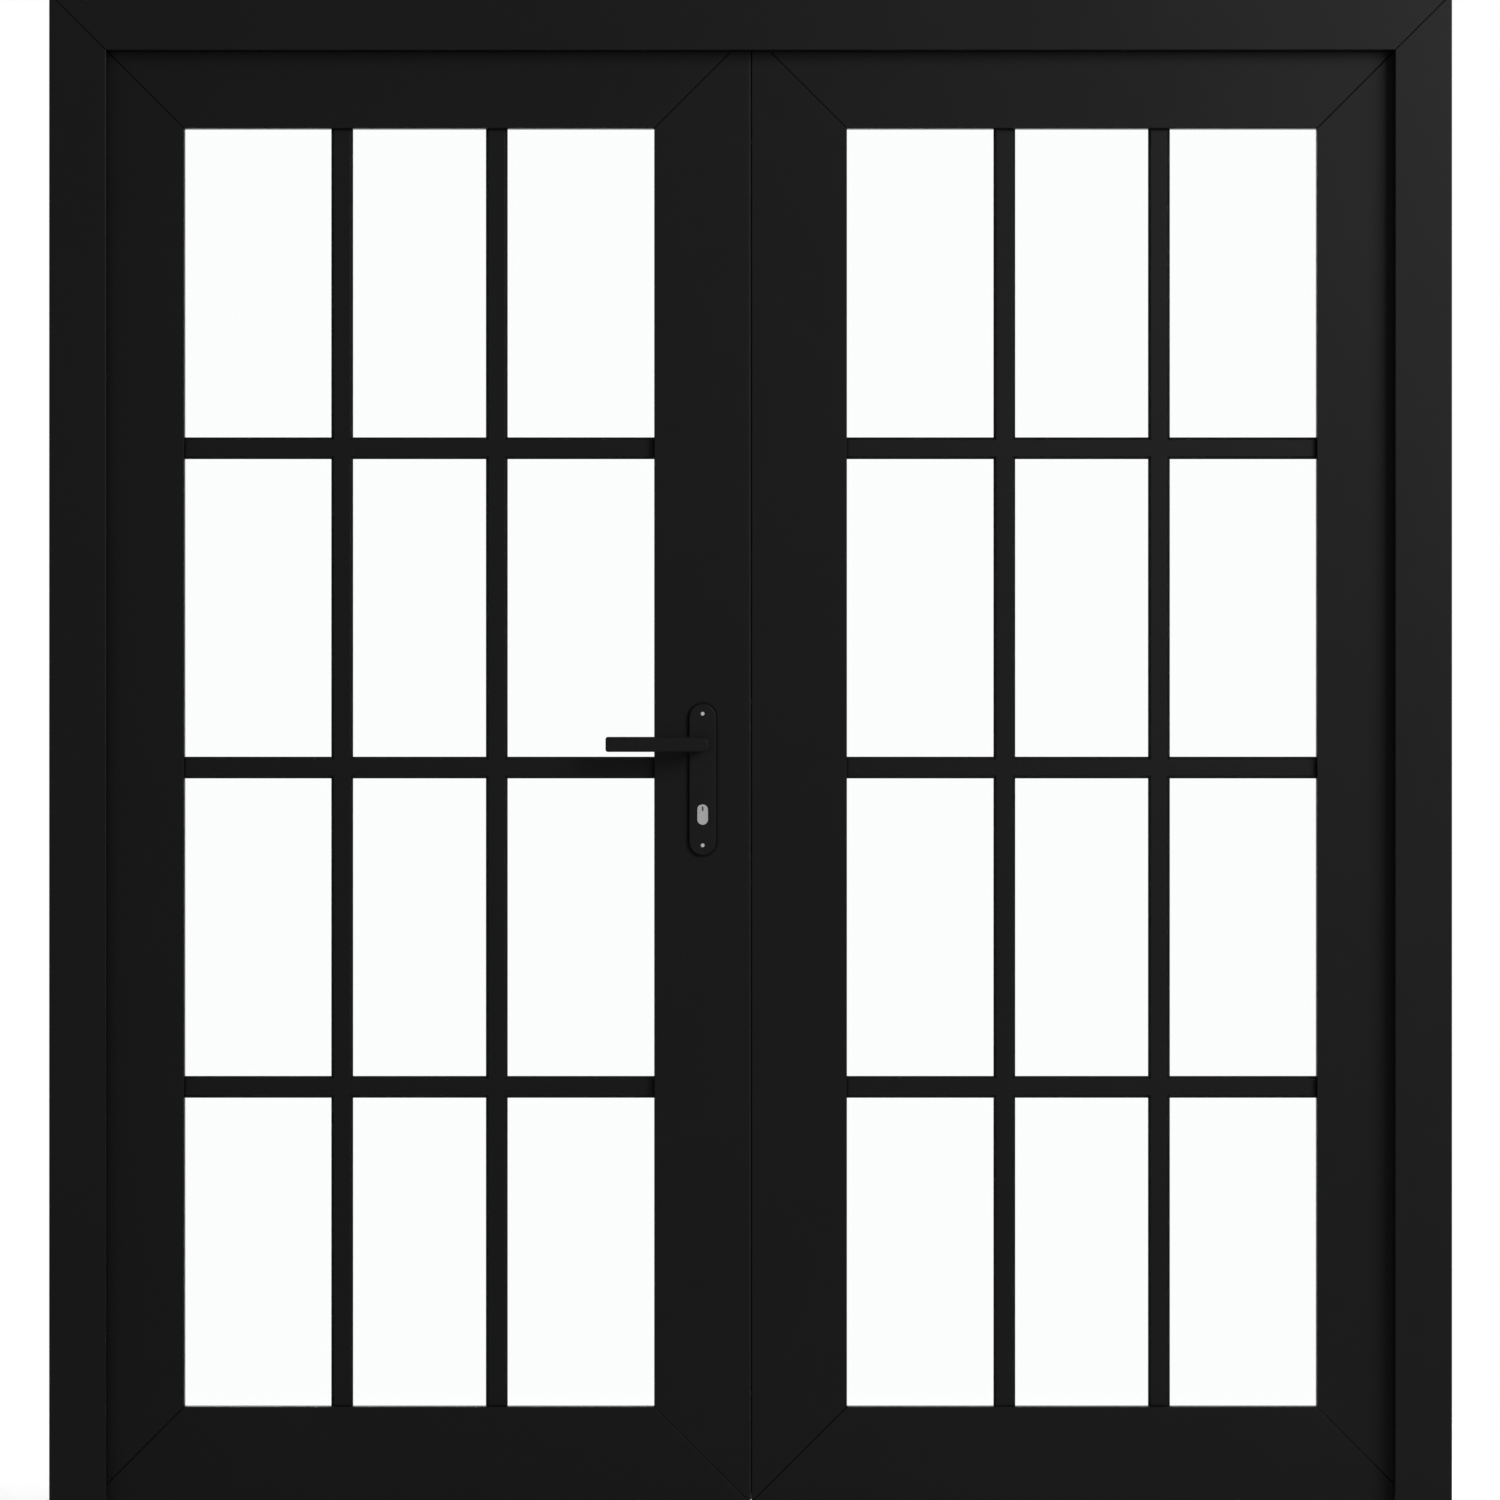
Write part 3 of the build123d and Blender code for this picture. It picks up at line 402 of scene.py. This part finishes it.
def makeScrew():
    bpy.ops.mesh.primitive_cylinder_add(vertices=screw["sides"], radius=screw["radius"],
                                        depth=2 * screw["rim"])
    pattern = startPiece("screwPattern")
    editFaces(pattern, lambda face: face.normal.z > facing)
    for share, inset in screw["dome"]:
        bpy.ops.mesh.inset(thickness=inset)
        bpy.ops.transform.translate(value=(0, 0, share * screw["crown"]))
    bpy.ops.object.mode_set(mode="OBJECT")
    top = screw["rim"] + screw["crown"]
    slot = (screw["crossLength"], screw["crossWidth"], 2 * screw["crossDepth"])
    for turn in (0, math.radians(90)):
        bpy.ops.mesh.primitive_cube_add(size=1, location=(0, 0, top), rotation=(0, 0, turn), scale=slot)
        cutter = startPiece("crossCutter")
        bpy.ops.object.transform_apply(location=True, rotation=True, scale=True)
        cut = pattern.modifiers.new("cross", "BOOLEAN")
        cut.operation = "DIFFERENCE"
        cut.solver = "EXACT"
        cut.object = cutter
        bpy.ops.object.select_all(action="DESELECT")
        bpy.context.view_layer.objects.active = pattern
        pattern.select_set(True)
        bpy.ops.object.modifier_apply(modifier=cut.name)
        bpy.data.objects.remove(cutter)
    finishMesh()
    return pattern


hingeScrews = {
    "heights": (0.307, 1.058, 1.809),  # the hinges' middles
    "spots": (  # y, and z from the middle
        (0.0105, 0.038), (-0.0015, 0.013), (-0.0015, -0.013), (0.0105, -0.038),
    ),
    "plates": {  # face of the plate along X, the way it looks, the body it is on
        "leftLeafHingeScrew": (-0.91525, -1, "left_leaf"),
        "leftFrameHingeScrew": (-0.91825, 1, "frame"),
        "rightLeafHingeScrew": (0.91525, 1, "right_leaf"),
        "rightFrameHingeScrew": (0.91825, -1, "frame"),
    },
}
faceScrews = {  # name, places, the way they look, body; zinc screws in the bare plates
    "forendScrew": (((-0.00125, 0, 0.8975), (-0.00125, 0, 1.115)), (1, 0, 0), "left_leaf"),
    "strikeScrew": (((0.00125, 0, 0.8975), (0.00125, 0, 1.115)), (-1, 0, 0), "right_leaf"),
    "upperBoltScrew": (((0.00125, 0, 1.8895), (0.00125, 0, 2.029)), (-1, 0, 0), "right_leaf"),
    "lowerBoltScrew": (((0.00125, 0, 0.017), (0.00125, 0, 0.1565)), (-1, 0, 0), "right_leaf"),
    "keeperScrew": (((-0.006, 0, 2.042), (0.0305, 0, 2.042)), (0, 0, -1), "frame"),
}


def placeScrews():
    pattern = makeScrew()
    count = 0
    for name, (face, way, body) in hingeScrews["plates"].items():
        for height in hingeScrews["heights"]:
            for y, rise in hingeScrews["spots"]:
                count += 1
                copyTo(pattern, f"{name}{count:02d}", (face, y, height + rise), (way, 0, 0),
                       count * screw["turn"], body, "hinge_black")
    for name, (places, way, body) in faceScrews.items():
        for place in places:
            count += 1
            copyTo(pattern, f"{name}{count:02d}", place, way, count * screw["turn"], body, "screw_zinc")
    bpy.data.objects.remove(pattern)
    print("screws:", count)


# Turned button that closes each end of a hinge's knuckle, modelled once facing up from z 0.
knuckleCap = {
    "sides": 40,
    "profile": (  # radius and height above the knuckle's end, mm
        (6.5, 0.0), (6.5, 0.4), (5.6, 0.7), (5.4, 1.2), (6.0, 1.6), (6.0, 2.3), (5.2, 3.3), (3.6, 4.1),
        (1.6, 4.5),
    ),
    "axis": (0.91675, 0.027),  # x and y of the knuckles
    "half": 0.050,  # from the hinge's middle to a knuckle's end
}


def makeKnuckleCap():
    profile = [(toMetres(radius), toMetres(height)) for radius, height in knuckleCap["profile"]]
    radius, low = profile[0]
    bpy.ops.mesh.primitive_circle_add(vertices=knuckleCap["sides"], radius=radius, fill_type="NGON",
                                      location=(0, 0, low))
    pattern = startPiece("capPattern")
    editFaces(pattern, lambda face: True)
    for nextRadius, height in profile[1:]:
        bpy.ops.mesh.extrude_region_move(TRANSFORM_OT_translate={"value": (0, 0, height - low)})
        share = nextRadius / radius
        bpy.ops.transform.resize(value=(share, share, 1), center_override=(0, 0, height))
        radius, low = nextRadius, height
    bpy.ops.mesh.select_all(action="SELECT")
    bpy.ops.mesh.normals_make_consistent(inside=False)
    finishMesh()
    return pattern


def placeKnuckleCaps():
    pattern = makeKnuckleCap()
    x, y = knuckleCap["axis"]
    count = 0
    for side, leaf in ((-1, "left_leaf"), (1, "right_leaf")):
        for height in hingeScrews["heights"]:
            for way, body in ((1, leaf), (-1, "frame")):
                count += 1
                place = (side * x, y, height + way * knuckleCap["half"])
                copyTo(pattern, f"knuckleCap{count:02d}", place, (0, 0, way), 0, body, "hinge_black")
    bpy.data.objects.remove(pattern)
    print("knuckle caps:", count)


# Pile seals down the two meeting edges: each closes the 2.5 mm gap nearly to the other leaf, one
# behind the other, so that no light passes between the leaves.
meetingSeals = {
    "edge": 0.00125,  # the leaves' edges, from the middle
    "back": 0.0006,  # thickness of a strip's back
    "reach": 0.0009,  # how far past the middle the pile ends
    "heights": (0.010, 2.036),
    "inset": 0.0004,  # how far the pile starts inside the back's edges
    "steps": 3,  # lengths that the pile narrows in
    "tipWidth": 0.55,  # the pile's width at its tip, of the strip's
    "strips": {  # side of the strip's own leaf, its limits in y, and the body it is on
        "leftMeetingSeal": (-1, (-0.017, -0.013), "left_leaf"),
        "rightMeetingSeal": (1, (0.013, 0.017), "right_leaf"),
    },
}


def placeMeetingSeals():
    seal = meetingSeals
    low, high = seal["heights"]
    backMiddle = seal["edge"] - seal["back"] / 2
    pile = seal["edge"] - seal["back"] + seal["reach"]
    share = seal["tipWidth"] ** (1 / seal["steps"])
    for name, (side, (front, rear), body) in seal["strips"].items():
        middle = (front + rear) / 2
        bpy.ops.mesh.primitive_cube_add(size=1, location=(side * backMiddle, middle, (low + high) / 2),
                                        scale=(seal["back"], rear - front, high - low))
        piece = startPiece(name)
        bpy.ops.object.transform_apply(location=True, rotation=True, scale=True)
        editFaces(piece, lambda face: face.normal.x * side < -facing)
        bpy.ops.mesh.inset(thickness=seal["inset"])
        step = (-side * pile / seal["steps"], 0, 0)
        for _ in range(seal["steps"]):
            bpy.ops.mesh.extrude_region_move(TRANSFORM_OT_translate={"value": step})
            bpy.ops.transform.resize(value=(1, share, 1), center_override=(0, middle, 0))
        finishMesh()
        dress(piece, body, "seal_rubber")
    print("meeting seals:", len(seal["strips"]))


placeScrews()
placeKnuckleCaps()
placeMeetingSeals()


# Studio: a pale floor that fades out to white, a large soft light from the upper right in front,
# a weaker one from the left, one behind, and an even surround that reflections see dimmer.
studio = {
    "floorSize": 9,
    "floorColour": "c4c4c4",
    "floorGlow": 0.72,  # what the camera sees of the floor besides the light that falls on it
    "fadeStart": 1.5,  # metres from the middle of the doorway
    "fadeEnd": 3.2,
    "surround": 0.12,
    "background": 1.0,
    "reflected": 0.65,  # how much of the white background a reflection shows
}


def backgroundSeen(tree, level):  # white for the camera and through glass, and dimmed in reflections
    rays = addNode(tree, "ShaderNodeLightPath").outputs
    straight = addNode(tree, "ShaderNodeMath", None,
                       {0: rays["Is Camera Ray"], 1: rays["Is Transmission Ray"]},
                       operation="MAXIMUM")
    mirrored = addNode(tree, "ShaderNodeMath", {1: studio["reflected"]},
                       {0: rays["Is Glossy Ray"]}, operation="MULTIPLY")
    either = addNode(tree, "ShaderNodeMath", None,
                     {0: straight.outputs[0], 1: mirrored.outputs[0]}, operation="MAXIMUM")
    scaled = addNode(tree, "ShaderNodeMath", {1: level}, {0: either.outputs[0]}, operation="MULTIPLY")
    return rays, scaled.outputs[0]


def buildFloor():
    bpy.ops.mesh.primitive_plane_add(size=studio["floorSize"])
    floor = bpy.context.object
    floor.name = "studioFloor"
    material = bpy.data.materials.new("studioFloor")
    material.use_nodes = True
    tree = material.node_tree
    tree.nodes.clear()
    _, seen = backgroundSeen(tree, studio["floorGlow"])
    glow = addNode(tree, "ShaderNodeEmission", None, {"Strength": seen})
    matt = addNode(tree, "ShaderNodeBsdfDiffuse", {"Color": toLinear(studio["floorColour"])})
    both = addNode(tree, "ShaderNodeAddShader", None, {0: glow.outputs[0], 1: matt.outputs[0]})
    place = addNode(tree, "ShaderNodeTexCoord").outputs["Object"]
    reach = addNode(tree, "ShaderNodeVectorMath", None, {0: place}, operation="LENGTH")
    fade = addNode(tree, "ShaderNodeMapRange",
                   {"From Min": studio["fadeStart"], "From Max": studio["fadeEnd"]},
                   {"Value": reach.outputs["Value"]}, interpolation_type="SMOOTHSTEP")
    clear = addNode(tree, "ShaderNodeBsdfTransparent")
    whole = addNode(tree, "ShaderNodeMixShader", None,
                    {0: fade.outputs["Result"], 1: both.outputs[0], 2: clear.outputs[0]})
    addNode(tree, "ShaderNodeOutputMaterial", None, {"Surface": whole.outputs[0]})
    floor.data.materials.append(material)


def buildSurround():
    world = bpy.data.worlds.new("studioSurround")
    world.use_nodes = True
    bpy.context.scene.world = world
    tree = world.node_tree
    tree.nodes.clear()
    rays, seen = backgroundSeen(tree, studio["background"])
    lighting = addNode(tree, "ShaderNodeMath", {1: studio["surround"]},
                       {0: rays["Is Diffuse Ray"]}, operation="MULTIPLY")
    level = addNode(tree, "ShaderNodeMath", None, {0: seen, 1: lighting.outputs[0]},
                    operation="MAXIMUM")
    sky = addNode(tree, "ShaderNodeBackground", {"Color": (1, 1, 1, 1)},
                  {"Strength": level.outputs[0]})
    addNode(tree, "ShaderNodeOutputWorld", None, {"Surface": sky.outputs[0]})


lamps = {
    "keyRight": {"place": (2.85, -3.75, 2.75), "aim": (0.3, 0, 1.2), "size": (2.2, 2.2), "watts": 285},
    "fillLeft": {"place": (-2.5, -6.0, 1.2), "aim": (0, 0, 1.0), "size": (2.0, 2.0), "watts": 12},
    "rearSoft": {"place": (-2.5, 6.0, 4.0), "aim": (0, 0, 1.1), "size": (3.0, 3.0), "watts": 260},
}


def buildLamps():
    for name, lamp in lamps.items():
        place, aim = Vector(lamp["place"]), Vector(lamp["aim"])
        bpy.ops.object.light_add(type="AREA", location=place)
        light = bpy.context.object
        light.name = name
        light.data.shape = "RECTANGLE"
        light.data.size, light.data.size_y = lamp["size"]
        light.data.energy = lamp["watts"]
        light.rotation_euler = (aim - place).to_track_quat("-Z", "Y").to_euler()


view = {  # long lens, far off and level, as in the photograph
    "lens": 300,
    "sensor": 36,
    "distance": 17.304,
    "height": 1.0473,
    "sideways": -0.0008,
    "sight": 200,  # metres
}


def buildCamera():
    place = (view["sideways"], -view["distance"], view["height"])
    bpy.ops.object.camera_add(location=place, rotation=(math.radians(90), 0, 0))
    camera = bpy.context.object
    camera.name = "photoCamera"
    camera.data.lens = view["lens"]
    camera.data.sensor_width = view["sensor"]
    camera.data.clip_end = view["sight"]
    bpy.context.scene.camera = camera


buildFloor()
buildSurround()
buildLamps()
buildCamera()
bpy.context.scene.view_settings.view_transform = "Standard"
print("studio ready")
